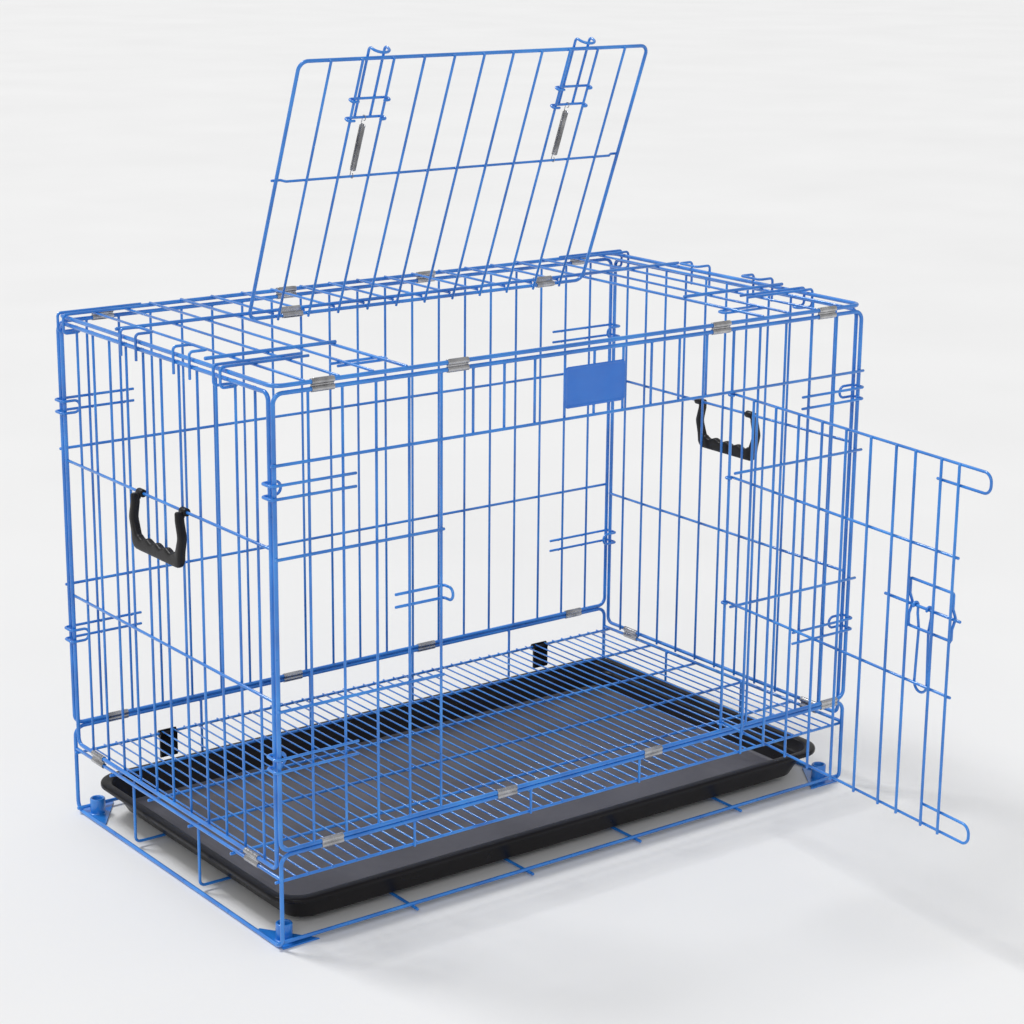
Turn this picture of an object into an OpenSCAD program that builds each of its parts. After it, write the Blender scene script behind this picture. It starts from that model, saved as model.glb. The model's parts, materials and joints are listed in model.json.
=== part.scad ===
// Folding wire dog crate with a front door, a top hatch and a slide-out tray.
// Front is -Y, the door is in the front panel and the floor is at z = 0.

/* [Crate] */
// Distance between the left and right frame wires
crate_l = 760; // [740:2:780]
// Distance between the front and back frame wires
crate_w = 438; // [430:2:446]
// Height of the base's top wire
base_h = 100; // [98:0.5:102]
// Height of the walls' top wire
wall_top = 558.5; // [556:0.5:562]
// Height of the roof's edge wire above the walls' top wire
roof_gap = 7; // [6.5:0.5:7.5]

/* [Wire] */
// Radius of the frame wires
frame_r = 2.2; // [2:0.1:2.2]
// Radius of the panels' upright wires
upright_r = 1.45; // [1.3:0.05:1.45]
// Radius of the panels' cross wires
cross_r = 1.6; // [1.5:0.1:1.6]
// Radius of the floor's fine wires
fine_r = 1.0; // [0.9:0.1:1.1]
// Radius of hooks, loops and door wires
hook_r = 1.5; // [1.4:0.1:1.5]
// Distance between the front panel's uprights
front_pitch = 38; // [38:1:38]
// Distance between the back and roof wires
back_pitch = 38.5; // [38:0.5:38.5]
// Distance between the side panels' uprights
side_pitch = 36.4; // [36:0.1:36.6]
// Distance between the floor's fine wires
fine_pitch = 14.5; // [14.4:0.1:14.5]

/* [Door] */
// Distance from the middle to the hinge wire
hinge_x = 190; // [190:1:190]
// Height of the header wire above the door
header_z = 491; // [490:1:492]
// Angle that the door stands open
door_open = 84.8; // [0:0.1:90]
// Height of the bolt
bolt_z = 334; // [333:1:335]

/* [Hatch] */
// Half of the hatch's width
hatch_half = 225; // [224:0.5:225]
// Length of the hatch from its hinge to its free edge
hatch_l = 297; // [290:1:298]
// Angle that the hatch stands open
hatch_open = 68.3; // [5:0.1:95]

/* [Tray] */
// Half of the tray's length over its rim
tray_half_l = 370; // [360:1:371]
// Half of the tray's width over its rim
tray_half_w = 208; // [200:1:208]
// Height of the rim
rim_z = 41.5; // [36:0.5:50]
// Thickness of the plastic
tray_wall = 2; // [1.5:0.1:2.5]

/* [Feet] */
// Radius of the caster sockets' bore
socket_r = 5.6; // [5:0.1:6]
// Height of the caster sockets
socket_h = 19; // [15:1:22]

/* [Hidden] */
half_l = crate_l / 2;
half_w = crate_w / 2;
seat = 2 * frame_r + 0.2;          // spacing of two frame wires that lie side by side
sill_z = base_h + seat;            // bottom wire of the front and back panels
roof_z = wall_top + roof_gap;      // edge wire of the roof
roof_wire_z = roof_z + 2.1;        // wires across the roof, let into the edge wire
roof_bar_z = roof_z + 5.1;         // hinge bar and second bars on top of them
roof_wire_r = 1.4;
bar_r = 1.9;
bar_y = 90;                        // hinge bar
second_bar_y = -92;
side_y = half_w - 8;               // posts of the side panels
side_pivot_z = 83;                 // bottom wire of the side panels, their hinge
grid_z = 75;                       // side wires of the floor grid
grid_side_r = 2.0;
support_z = grid_z - grid_side_r - cross_r + 0.3;
support_front_y = -(half_w - frame_r - cross_r);
support_back_y = half_w - 6.7;
support_ys = [support_front_y, -129, -43, 43, 129, support_back_y];
fine_count = 25;                   // fine wires on each side of the middle one
stub = 5;                          // how far cross wires stick out past the frame
rail_r = 2.0;
rail_z = 6.3;
rail_front_y = -(half_w - 3.8);
rail_back_y = half_w - 7.7;
j_xs = [-222, -74, 74, 222];       // wires that carry the tray
j_y = half_w - 3.5;
j_z = 3.0;
u_ys = [-50, 90];                  // U wires at the ends of the base
u_x = half_l - 3.5;
u_z = 5.9;
skin = 0.15;                       // how deep a weld lets one wire into the next
running = 0.06;                    // radial clearance in a sheet clip
clip_wall = 0.85;
socket_x = half_l - 14;
socket_y = half_w - 20;
plate_t = 1.5;
hook_pitch = 13;                   // between the two legs of a hairpin hook
cross_y = half_w + upright_r + cross_r - 0.3;     // cross wires outside the panels
hook_y = half_w + frame_r + hook_r - skin;        // corner hooks outside the posts
hook_end_y = side_y - 5.5;
catch_y = half_w - upright_r - hook_r + 0.35;
catch_z = bolt_z;
door_edge = 2 * hinge_x - 24;      // last upright of the door
eye_r = cross_r + 0.08 + hook_r;   // bend radius of an eye round the hinge wire
lip_n = eye_r;                     // door's cross wires, outside its uprights
upright_n = lip_n - 2 * hook_r + 0.3;
door_top_z = header_z - 3.5;
door_low_z = sill_z + 9.9;
bolt_n = upright_n + hook_r + cross_r + 0.17;
bolt_in = 256.5;
bolt_out = 367;
grip_w = [303, 322];               // the bolt handle's legs along the bolt
handle_x = half_l - 0.6;           // side panels' cross wires, outside their uprights
side_wire_x = half_l - frame_r - upright_r + 0.3;
side_wire_zs = [256, 408];
hatch_y = bar_y - 5;               // hatch's hinge wire
hatch_z = roof_z - 0.4;
hatch_r = 2.0;
mid_s = 163;                       // hatch's middle wire
latch_x = 133;
latch_half = 9.5;
latch_ss = [230.5, 252];           // cross wires of a latch
latch_n = hatch_r + hook_r + 0.2;
latch_tip = hatch_l + 11.3;
latch_bar_n = latch_n - hook_r - roof_wire_r + 0.1;
spring_r = 3.3;
spring_wire_r = 0.45;
blue = [0.09, 0.36, 0.78];
steel = [0.72, 0.73, 0.74];
black = [0.05, 0.05, 0.06];

function unit(v) = v / norm(v);
function pick(v, i) = is_list(v) ? v[i] : v;
function flip(path, s) = [for (p = path) [s * p[0], p[1], p[2]]];

// How much a bend takes off the straight wire beside corner i of a path
function trim(path, i, radius) =
    i <= 0 || i >= len(path) - 1 ? 0 :
    pick(radius, i) * tan(acos(unit(path[i] - path[i - 1]) * unit(path[i + 1] - path[i])) / 2);

// Straight wire
module rod(a, b, r) {
    v = b - a;
    h = norm(v);
    translate(a)
        rotate([0, acos(v[2] / h), atan2(v[1], v[0])])
            cylinder(h = h, r = r, $fn = 24);
}

// Bend at corner p, between the wires from a and to b
module bend(p, a, b, radius, r) {
    u = unit(p - a);
    w = unit(b - p);
    turn = acos(u * w);
    n = unit(w - (w * u) * u);
    c = p - u * (radius * tan(turn / 2)) + n * radius;
    z = cross(-n, u);
    multmatrix([
        [-n[0], u[0], z[0], c[0]],
        [-n[1], u[1], z[1], c[1]],
        [-n[2], u[2], z[2], c[2]],
        [0, 0, 0, 1]
    ])
        rotate_extrude(angle = turn, $fn = 24)
            translate([radius, 0])
                circle(r = r, $fn = 24);
}

// Open bent wire; radius is one bend radius, or one for each point of the path
module wire(path, r, radius = 6) {
    for (i = [0 : len(path) - 2]) {
        u = unit(path[i + 1] - path[i]);
        rod(path[i] + u * trim(path, i, radius), path[i + 1] - u * trim(path, i + 1, radius), r);
    }
    for (i = [1 : 1 : len(path) - 2])
        bend(path[i], path[i - 1], path[i + 1], pick(radius, i), r);
}

// Closed bent wire
module ring(path, r, radius = 8) {
    n = len(path);
    for (i = [0 : n - 1]) {
        p = path[(i + n - 1) % n];
        a = path[i];
        b = path[(i + 1) % n];
        c = path[(i + 2) % n];
        u = unit(b - a);
        rod(a + u * radius * tan(acos(unit(a - p) * u) / 2),
            b - u * radius * tan(acos(u * unit(c - b)) / 2), r);
        bend(b, a, c, radius, r);
    }
}

// Open eye in a wire, its axis along Z: it leaves from [radius, 0] towards +Y
module eye(radius, r, turn = 300) {
    rotate_extrude(angle = turn, $fn = 48)
        translate([radius, 0])
            circle(r = r, $fn = 24);
}

// Sheet clip round two parallel wires: p and q are the wires in the clip's plane
module clip(p, q, rp, rq, length) {
    d = norm(q - p);
    turn = atan2(q[1] - p[1], q[0] - p[0]);
    translate([0, 0, -length / 2])
        linear_extrude(length)
            difference() {
                union() {
                    translate(p) circle(r = rp + running + clip_wall, $fn = 32);
                    translate(q) circle(r = rq + running + clip_wall, $fn = 32);
                    translate(p) rotate(turn) translate([0, -clip_wall]) square([d, 2 * clip_wall]);
                }
                translate(p) circle(r = rp + running, $fn = 32);
                translate(q) circle(r = rq + running, $fn = 32);
            }
}

// A clip whose wires run along X, at [y, z] points p and q
module clip_x(x, p, q, rp, rq, length = 25) {
    translate([x, 0, 0])
        multmatrix([[0, 0, 1, 0], [1, 0, 0, 0], [0, 1, 0, 0], [0, 0, 0, 1]])
            clip(p, q, rp, rq, length);
}

// A clip whose wires run along Y, at [x, z] points p and q
module clip_y(y, p, q, rp, rq, length = 25) {
    translate([0, y, 0])
        multmatrix([[1, 0, 0, 0], [0, 0, -1, 0], [0, 1, 0, 0], [0, 0, 0, 1]])
            clip(p, q, rp, rq, length);
}

// ---- base ----

module base_frame() {
    color(blue) {
        ring([[-half_l, -half_w, base_h], [half_l, -half_w, base_h],
              [half_l, -half_w, frame_r], [half_l, half_w, frame_r],
              [half_l, half_w, base_h], [-half_l, half_w, base_h],
              [-half_l, half_w, frame_r], [-half_l, -half_w, frame_r]], frame_r, 11);
        for (x = j_xs)
            rod([x, 0.8 - half_w, support_z - 1.5], [x, 0.8 - half_w, base_h - 1.5], roof_wire_r);
    }
}

// J-shaped wires from the back edge down and forward under the tray, on the two floor rails
module tray_wires() {
    color(blue) {
        for (y = [rail_front_y, rail_back_y])
            rod([-half_l - stub, y, rail_z], [half_l + stub, y, rail_z], rail_r);
        for (x = j_xs)
            wire([[x, j_y, base_h + 1], [x, j_y, j_z], [x, -half_w - stub, j_z]], cross_r, 4.3);
    }
}

// U wires down the ends of the base and across under the tray
module base_side_wires() {
    color(blue)
        for (y = u_ys)
            wire([[-u_x, y, grid_z + 1], [-u_x, y, u_z], [u_x, y, u_z], [u_x, y, grid_z + 1]],
                 cross_r, 6);
}

module floor_grid() {
    color(blue) {
        for (s = [-1, 1])
            rod([s * half_l, frame_r - half_w, grid_z], [s * half_l, half_w - frame_r, grid_z],
                grid_side_r);
        for (y = support_ys)
            rod([-half_l - stub, y, support_z], [half_l + stub, y, support_z], cross_r);
        for (k = [-fine_count : fine_count])
            rod([k * fine_pitch, 2 - half_w, grid_z - fine_r],
                [k * fine_pitch, support_back_y + 1.1, grid_z - fine_r], fine_r);
    }
}

module corner_plate() {
    long_side = 58;
    short_side = 42;
    difference() {
        union() {
            linear_extrude(plate_t)
                difference() {
                    polygon([[half_l - 1.5, half_w - 1], [half_l - 1.5, half_w - 1 - long_side],
                             [half_l - 1.5 - short_side, half_w - 1]]);
                    translate([half_l - 1.5, half_w - 1 - long_side])
                        circle(r = 6, $fn = 32);
                }
            translate([socket_x, socket_y, 0])
                cylinder(h = socket_h, r = socket_r + 2.9, $fn = 48);
        }
        translate([socket_x, socket_y, -1])
            cylinder(h = socket_h + 2, r = socket_r, $fn = 48);
    }
}

module corner_plates() {
    color(blue)
        for (x = [0, 1], y = [0, 1])
            mirror([x, 0, 0]) mirror([0, y, 0]) corner_plate();
}

module tray_catches() {
    width = 22;
    x = 18.5 * fine_pitch;             // midway between two fine wires
    color(black)
        for (s = [-1, 1])
            difference() {
                translate([s * x - width / 2, 0, 0])
                    multmatrix([[0, 0, 1, 0], [1, 0, 0, 0], [0, 1, 0, 0], [0, 0, 0, 1]])
                        linear_extrude(width)
                            difference() {
                                union() {
                                    translate([support_back_y, support_z])
                                        circle(r = 4.2, $fn = 32);
                                    translate([support_back_y - 3.2, rim_z + 3])
                                        square([2.6, support_z - rim_z - 3]);
                                    translate([support_back_y - 1.9, rim_z + 3])
                                        circle(r = 1.3, $fn = 24);
                                }
                                translate([support_back_y, support_z])
                                    circle(r = cross_r + running, $fn = 32);
                            }
                for (side = [-1, 1])
                    rod([s * x + side * fine_pitch / 2, 180, grid_z - fine_r],
                        [s * x + side * fine_pitch / 2, 230, grid_z - fine_r], fine_r + 0.1);
            }
}

// ---- front and back panels ----

module wall_ring(y) {
    ring([[-half_l, y, sill_z], [half_l, y, sill_z], [half_l, y, wall_top], [-half_l, y, wall_top]],
         frame_r, 10);
}

module front_panel() {
    y = -half_w;
    color(blue) {
        wall_ring(y);
        for (k = [5 : 9], s = [-1, 1])
            rod([s * k * front_pitch, y, sill_z - 1.5], [s * k * front_pitch, y, wall_top + 1],
                s * k == 5 ? cross_r : upright_r);
        for (k = [-4 : 4])
            rod([k * front_pitch, y, header_z - 1.5], [k * front_pitch, y, wall_top + 1], upright_r);
        rod([-half_l - stub, -cross_y, header_z], [half_l + stub, -cross_y, header_z], cross_r);
        for (z = [249, 400]) {
            rod([-half_l - 2, -cross_y, z], [2 - hinge_x, -cross_y, z], cross_r);
            rod([hinge_x + 5, -cross_y, z], [half_l + 8, -cross_y, z], cross_r);
        }
    }
}

module door_catch() {
    leg = 6.5;
    inner = 5 - hinge_x;
    color(blue)
        wire([[-243.5, -catch_y, catch_z + leg], [inner, -catch_y, catch_z + leg],
              [inner, -half_w - 13, catch_z + leg], [inner, -half_w - 13, catch_z - leg],
              [inner, -catch_y, catch_z - leg], [-243.5, -catch_y, catch_z - leg]],
             hook_r, [0, 3, 6.4, 6.4, 3, 0]);
}

module name_plate() {
    width = 79;
    low = 501;
    high = 544;
    corner = 5;
    thick = 0.8;
    color([0.02, 0.35, 0.8])
        translate([0, 0.05 - half_w - upright_r, 0])
            rotate([90, 0, 0])
                linear_extrude(thick)
                    union() {
                        translate([-width / 2, low + corner])
                            square([width, high - low - 2 * corner]);
                        translate([corner - width / 2, low])
                            square([width - 2 * corner, high - low]);
                        for (x = [corner - width / 2, width / 2 - corner],
                             z = [low + corner, high - corner])
                            translate([x, z]) circle(r = corner, $fn = 48);
                    }
}

module back_panel() {
    color(blue) {
        wall_ring(half_w);
        for (k = [-9 : 9])
            rod([k * back_pitch, half_w, sill_z - 1.5], [k * back_pitch, half_w, wall_top + 1],
                upright_r);
        for (z = [266, 419])
            rod([half_l + 3, cross_y, z], [-half_l - 3, cross_y, z], cross_r);
    }
}

// Hairpin hook round a corner: its closed end holds the side panel's post. s is the side, f the face
module corner_hook(s, f, z) {
    end_x = 365;
    leg = [[291, f * hook_y, z], [half_l + 6, f * hook_y, z], [half_l + 6, f * hook_end_y, z],
           [end_x, f * hook_end_y, z]];
    back = [for (i = [3 : -1 : 0]) leg[i] - [0, 0, hook_pitch]];
    wire(flip(concat(leg, back), s), hook_r, [0, 4, 4, 6.4, 6.4, 4, 4, 0]);
}

module corner_hooks_front() {
    color(blue)
        for (s = [-1, 1], z = [472, 201])
            corner_hook(s, -1, z);
}

module corner_hooks_back() {
    color(blue) {
        for (s = [-1, 1])
            corner_hook(s, 1, 474);
        corner_hook(-1, 1, 217);
        corner_hook(1, 1, 204);
    }
}

// ---- roof ----

module roof_panel() {
    edge = 6;                          // the opening lies between wires -6 and 6
    color(blue) {
        ring([[1 - half_l, -half_w, roof_z], [half_l - 1, -half_w, roof_z],
              [half_l - 1, half_w, roof_z], [1 - half_l, half_w, roof_z]], frame_r, 12);
        for (k = [-9 : 9]) {
            start = abs(k) >= edge ? -half_w - 1 : bar_y - 2;
            rod([k * back_pitch, start, roof_wire_z], [k * back_pitch, half_w + 1, roof_wire_z],
                abs(k) == edge ? cross_r : roof_wire_r);
        }
        rod([1 - half_l, bar_y, roof_bar_z], [half_l - 1, bar_y, roof_bar_z], bar_r);
        for (s = [-1, 1])
            rod([s * 229, second_bar_y, roof_bar_z], [s * (half_l - 1), second_bar_y, roof_bar_z],
                bar_r);
    }
}

// Hairpin snap hook: its legs lie on the roof, its closed end holds the side panel's top wire
module roof_hook(s, y) {
    leg = [[287, y, roof_bar_z - 0.4], [half_l + 6, y, roof_bar_z - 0.4],
           [half_l + 6, y, wall_top - 8.5], [366, y, wall_top - 8.5]];
    back = [for (i = [3 : -1 : 0]) leg[i] - [0, hook_pitch, 0]];
    wire(flip(concat(leg, back), s), hook_r, [0, 4, 4, 6.4, 6.4, 4, 4, 0]);
}

module roof_hooks() {
    color(blue)
        for (s = [-1, 1], y = [206.5, -121])
            roof_hook(s, y);
}

module hatch_stops() {
    z = roof_wire_z - 2 * roof_wire_r + 0.3;
    color(blue)
        for (s = [-1, 1])
            wire([[s * 279, -158.5, z], [s * 219, -158.5, z], [s * 219, -171.5, z],
                  [s * 279, -171.5, z]], roof_wire_r, 6.4);
}

// ---- clips ----

module base_front_clips() {
    color(steel)
        for (x = [-321.5, -107, 91, 356.2])
            clip_x(x, [-half_w, base_h], [-half_w, sill_z], frame_r, frame_r);
}

module base_back_clips() {
    color(steel)
        for (x = [-327.25, -96.25, 96.25, 327.25])
            clip_x(x, [half_w, base_h], [half_w, sill_z], frame_r, frame_r);
}

module base_side_clips() {
    color(steel)
        for (s = [-1, 1], y = [-164, 164])
            clip_y(y, [s * half_l, grid_z], [s * half_l, side_pivot_z], grid_side_r, frame_r);
}

module roof_front_clips() {
    color(steel)
        for (x = [-326, -171, 171, 326])
            clip_x(x, [-half_w, wall_top], [-half_w, roof_z], frame_r, frame_r);
}

module roof_back_clips() {
    color(steel)
        for (x = [-327.25, -96.25, 96.25, 327.25])
            clip_x(x, [half_w, wall_top], [half_w, roof_z], frame_r, frame_r);
}

module hatch_clips() {
    color(steel)
        for (s = [-1, 1])
            clip_x(s * 171, [bar_y, roof_bar_z], [hatch_y, hatch_z], bar_r, hatch_r);
}

// ---- tray ----

module round_rect(hx, hy, corner) {
    union() {
        square([2 * hx, 2 * (hy - corner)], center = true);
        square([2 * (hx - corner), 2 * hy], center = true);
        for (x = [-1, 1], y = [-1, 1])
            translate([x * (hx - corner), y * (hy - corner)]) circle(r = corner, $fn = 64);
    }
}

// Drafted basin between two heights; grow makes it wider all round
module basin(low, high, grow) {
    hull() {
        translate([0, 0, low])
            linear_extrude(0.1)
                for (x = [-1, 1], y = [-1, 1])
                    translate([x * (345 - 24), y * (186 - 24)]) circle(r = 24 + grow, $fn = 32);
        translate([0, 0, high - 0.1])
            linear_extrude(0.1)
                for (x = [-1, 1], y = [-1, 1])
                    translate([x * (tray_half_l - 9 - 28), y * (tray_half_w - 9 - 28)])
                        circle(r = 28 + grow, $fn = 32);
    }
}

module tray() {
    floor_z = 8.8;
    lip = 5;
    color(black)
        difference() {
            union() {
                basin(floor_z, rim_z, 0);
                translate([0, 0, rim_z - tray_wall])
                    linear_extrude(tray_wall) round_rect(tray_half_l, tray_half_w, 34);
                translate([0, 0, rim_z - lip])
                    linear_extrude(lip - 0.5)
                        difference() {
                            round_rect(tray_half_l, tray_half_w, 34);
                            round_rect(tray_half_l - tray_wall, tray_half_w - tray_wall,
                                       34 - tray_wall);
                        }
            }
            basin(floor_z + tray_wall, rim_z + 0.2, -tray_wall);
        }
}

// ---- side panels ----

module side_panel(s) {
    color(blue) {
        ring([[s * half_l, -side_y, side_pivot_z], [s * half_l, side_y, side_pivot_z],
              [s * half_l, side_y, wall_top], [s * half_l, -side_y, wall_top]], frame_r, 8);
        for (k = [-5 : 5])
            rod([s * side_wire_x, k * side_pitch, side_pivot_z - 2.8],
                [s * side_wire_x, k * side_pitch, wall_top + 1], upright_r);
        for (z = side_wire_zs)
            rod([s * handle_x, -side_y - 2, z], [s * handle_x, side_y + 2, z], cross_r);
    }
}

module left_side_panel() {
    side_panel(-1);
}

module right_side_panel() {
    side_panel(1);
}

// Springy U wires that snap over the roof's edge wire
module top_loops(s) {
    x = half_l + frame_r + hook_r - 0.3;
    top = roof_z + 8.5;
    color(blue)
        for (f = [-1, 1])
            wire([for (p = [[x, 38.5, wall_top - 12], [x, 38.5, top], [363, 38.5, top],
                            [363, 70.5, top], [x, 70.5, top], [x, 70.5, wall_top - 12]])
                  [s * p[0], f * p[1], p[2]]], hook_r, 4);
}

module left_top_loops() {
    top_loops(-1);
}

module right_top_loops() {
    top_loops(1);
}

// Moulded carry handle on the upper cross wire of a side panel
module handle(s) {
    wire_z = side_wire_zs[1];
    ring_r = 4.2;
    clip_y = 45;
    clip_l = 11;
    thick = 9;
    inner_x = handle_x + cross_r + 0.4;
    grip_z = wire_z - 58;
    color(black)
        difference() {
            union() {
                for (f = [-1, 1])
                    translate([s * handle_x, f * clip_y, wire_z])
                        rotate([90, 0, 0])
                            cylinder(h = clip_l, r = ring_r, center = true, $fn = 48);
                translate([s > 0 ? inner_x : -inner_x - thick, 0, 0])
                    multmatrix([[0, 0, 1, 0], [1, 0, 0, 0], [0, 1, 0, 0], [0, 0, 0, 1]])
                        linear_extrude(thick)
                            difference() {
                                union() {
                                    translate([-53, grip_z + 8]) square([106, wire_z - grip_z - 22]);
                                    translate([-47, grip_z]) square([94, 12]);
                                    for (f = [-1, 1]) {
                                        translate([f * 45, grip_z + 8]) circle(r = 8, $fn = 48);
                                        translate([f * clip_y - 5, wire_z - 20]) square([10, 20]);
                                    }
                                }
                                translate([-42, grip_z + 16]) square([84, wire_z - grip_z]);
                                for (k = [-1.5 : 1.5])
                                    translate([k * 20, grip_z + 18]) circle(r = 8, $fn = 32);
                            }
            }
            translate([s * handle_x, 0, wire_z])
                rotate([90, 0, 0])
                    cylinder(h = 130, r = cross_r + running, center = true, $fn = 48);
        }
}

module left_handle() {
    handle(-1);
}

module right_handle() {
    handle(1);
}

// ---- hatch: x, s towards its free edge, n upwards when it is shut ----

module hatch_place() {
    translate([0, hatch_y, hatch_z])
        rotate([-hatch_open, 0, 0])
            multmatrix([[1, 0, 0, 0], [0, -1, 0, 0], [0, 0, 1, 0], [0, 0, 0, 1]])
                children();
}

module hatch_panel() {
    inner_n = -(hatch_r + upright_r - 0.3);
    mid_n = inner_n + upright_r + roof_wire_r - 0.2;
    over_n = hatch_r + roof_wire_r - 0.2;
    w = hatch_half;
    color(blue)
        hatch_place() {
            ring([[-w, 0, 0], [w, 0, 0], [w, hatch_l, 0], [-w, hatch_l, 0]], hatch_r, 10);
            for (k = [-5 : 5])
                rod([k * front_pitch, -3, inner_n], [k * front_pitch, hatch_l + 1.5, inner_n],
                    upright_r);
            wire([[-w - 4, mid_s, over_n], [10 - w, mid_s, over_n], [10 - w, mid_s, mid_n],
                  [w - 10, mid_s, mid_n], [w - 10, mid_s, over_n], [w + 4, mid_s, over_n]],
                 roof_wire_r, 1.8);
        }
}

module hatch_latch(s) {
    a = latch_x - latch_half;
    b = latch_x + latch_half;
    reach = 23.4;
    grip_n = -6.3;
    color(blue)
        hatch_place() {
            wire(flip([[a, latch_ss[0] - 2, latch_n], [a, latch_tip, latch_n], [a, latch_tip, -11],
                       [b, latch_tip, -11], [b, latch_tip, latch_n], [b, latch_ss[0] - 2, latch_n]],
                      s), hook_r, [0, 4, 9.4, 9.4, 4, 0]);
            for (l = latch_ss)
                wire(flip([[latch_x - reach + 8.5, l, grip_n], [latch_x - reach, l, grip_n],
                           [latch_x - reach, l, latch_bar_n], [latch_x + reach, l, latch_bar_n],
                           [latch_x + reach, l, grip_n], [latch_x + reach - 8.5, l, grip_n]], s),
                     roof_wire_r, 3);
        }
}

module left_hatch_latch() {
    hatch_latch(-1);
}

module right_hatch_latch() {
    hatch_latch(1);
}

// Tension spring as a tube of its outer size, with a hooked end round each cross wire
module latch_spring(s) {
    wall = 1;
    low = 170;
    high = 222;
    bend_r = spring_r - wall / 2;
    ends = [[mid_s + 0.6, low, 1], [latch_ss[0] - 0.4, high, -1]];
    color(steel)
        hatch_place()
            translate([s * latch_x, 0, latch_bar_n - 0.8]) {
                translate([0, low, 0])
                    rotate([-90, 0, 0])
                        difference() {
                            cylinder(h = high - low, r = spring_r, $fn = 48);
                            translate([0, 0, -1])
                                cylinder(h = high - low + 2, r = spring_r - wall, $fn = 48);
                        }
                for (e = ends) {
                    rod([0, e[0], bend_r], [0, e[1] + e[2], bend_r], spring_wire_r);
                    translate([0, e[0], 0])
                        multmatrix([[0, 0, 1, 0], [0, -e[2], 0, 0], [1, 0, 0, 0], [0, 0, 0, 1]])
                            eye(bend_r, spring_wire_r);
                }
            }
}

module left_latch_spring() {
    latch_spring(-1);
}

module right_latch_spring() {
    latch_spring(1);
}

// ---- door: w from the hinge wire towards the free edge, n outwards, z up ----

function d(w, n, z) = [-w, -n, z];

module door_place() {
    translate([hinge_x, -half_w, 0])
        rotate([0, 0, door_open])
            children();
}

// Cross wire that ends in a hairpin past the door's free edge
module door_loop(z, back_z, back_w) {
    wire([d(3, lip_n, z), d(397, lip_n, z), d(397, lip_n, back_z), d(back_w, lip_n, back_z)],
         hook_r, 9);
}

module hinge_eye() {
    height = 2.6;
    difference() {
        cylinder(h = height, r = eye_r + hook_r - 0.2, center = true, $fn = 48);
        cylinder(h = height + 2, r = eye_r - hook_r, center = true, $fn = 48);
    }
}

module door_panel() {
    color(blue)
        door_place() {
            for (z = [door_top_z, 396, 255, door_low_z])
                translate([0, 0, z]) hinge_eye();
            door_loop(door_top_z, door_top_z - 20.5, 323);
            door_loop(door_low_z, door_low_z + 20, 328);
            for (z = [255, 396])
                rod(d(3, lip_n, z), d(360, lip_n, z), hook_r);
            for (w = [for (k = [1 : 7]) k * front_pitch, 294, 331, door_edge])
                rod(d(w, upright_n, door_low_z - 2.5), d(w, upright_n, door_top_z + 0.9), hook_r);
        }
}

module bolt_guide() {
    a = 294;
    b = door_edge;
    n = lip_n + 0.2;
    low = bolt_z - 22.5;
    high = bolt_z + 26;
    peak = bolt_n + cross_r + hook_r + 0.6;
    bump = 7;
    color(blue)
        door_place()
            ring([d(a, n, high), d(b, n, high), d(b, n, bolt_z + bump), d(b, peak, bolt_z + bump),
                  d(b, peak, bolt_z - bump), d(b, n, bolt_z - bump), d(b, n, low), d(a, n, low),
                  d(a, n, bolt_z - bump), d(a, peak, bolt_z - bump), d(a, peak, bolt_z + bump),
                  d(a, n, bolt_z + bump)], hook_r, 1.9);
}

module door_bolt() {
    color(blue)
        door_place()
            rod(d(bolt_in, bolt_n, bolt_z), d(bolt_out, bolt_n, bolt_z), cross_r);
}

// Drop handle: its ends are bent over the bolt as open hooks
module bolt_handle() {
    r = 1.4;
    over = cross_r + 0.08 + r;
    n = bolt_n + over;
    color(blue)
        door_place() {
            wire([d(grip_w[0], n, bolt_z), d(grip_w[0], n, 246), d(grip_w[1], n, 246),
                  d(grip_w[1], n, bolt_z)], r, 9.4);
            for (w = grip_w)
                translate(d(w, bolt_n, bolt_z))
                    rotate([90, 0, -90])
                        rotate_extrude(angle = 100, $fn = 32)
                            translate([over, 0])
                                circle(r = r, $fn = 24);
        }
}

base_frame();
tray_wires();
base_side_wires();
floor_grid();
corner_plates();
tray_catches();
front_panel();
door_catch();
name_plate();
back_panel();
corner_hooks_front();
corner_hooks_back();
roof_panel();
roof_hooks();
hatch_stops();
base_front_clips();
base_back_clips();
base_side_clips();
roof_front_clips();
roof_back_clips();
hatch_clips();
tray();
left_side_panel();
right_side_panel();
left_top_loops();
right_top_loops();
left_handle();
right_handle();
hatch_panel();
left_hatch_latch();
right_hatch_latch();
left_latch_spring();
right_latch_spring();
door_panel();
bolt_guide();
door_bolt();
bolt_handle();
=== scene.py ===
"""Wire dog crate: the visible model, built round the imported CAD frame.

Lengths are millimetres until a mesh is made. Front is -Y and the floor is at z = 0.
"""

import json
import math

import bmesh
import bpy
from mathutils import Matrix, Vector

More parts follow.
